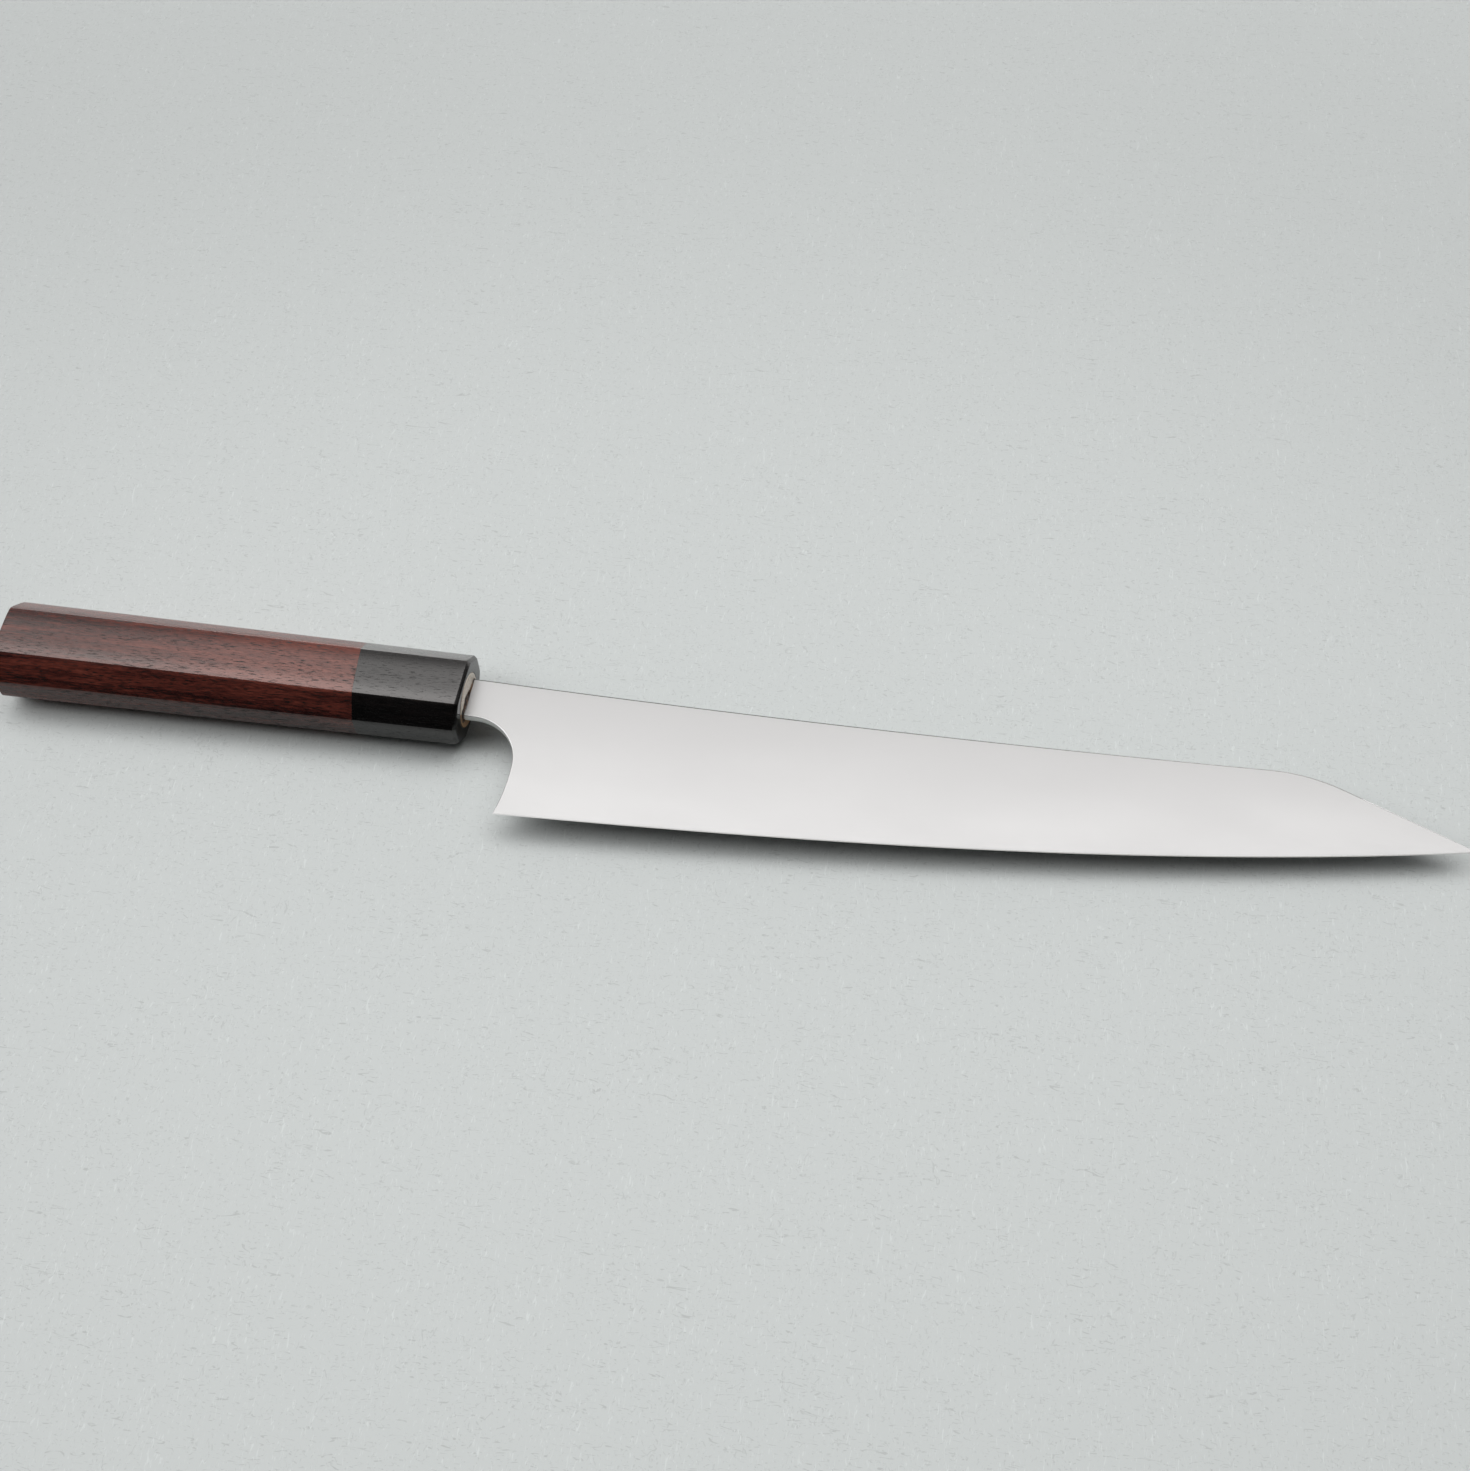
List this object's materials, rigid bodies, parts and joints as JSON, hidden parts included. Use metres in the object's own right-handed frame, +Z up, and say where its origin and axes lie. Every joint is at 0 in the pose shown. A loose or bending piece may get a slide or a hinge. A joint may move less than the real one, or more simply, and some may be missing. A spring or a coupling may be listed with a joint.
{
  "type": "sujihiki knife",
  "caption": "Long narrow slicing knife with an angled tip, a curved choil and an octagonal two-wood handle on a dowel core.",
  "frame": {"origin": "centre of the knife's box on the surface it lies on", "axes": "+X from butt to tip, +Y from edge to spine, +Z up out of the surface, square to the handle's lower flat; the blade's flat faces up"},
  "size_m": [0.424, 0.05, 0.0213],
  "materials": {
    "satin_steel": "fine satin, polished spine and choil",
    "ebony": "black wood, waxed, fine pores",
    "rosewood": "dark red-brown wood, waxed, dark streaks and pores",
    "pale_wood": "bare pale wood, end grain at the front",
    "dark_resin": "set resin, dark brown"
  },
  "bodies": {
    "root": {"blade": "satin_steel", "ferrule": "ebony", "grip": "rosewood", "dowel_core": "pale_wood", "tang_bedding": "dark_resin"}
  },
  "joints": []
}
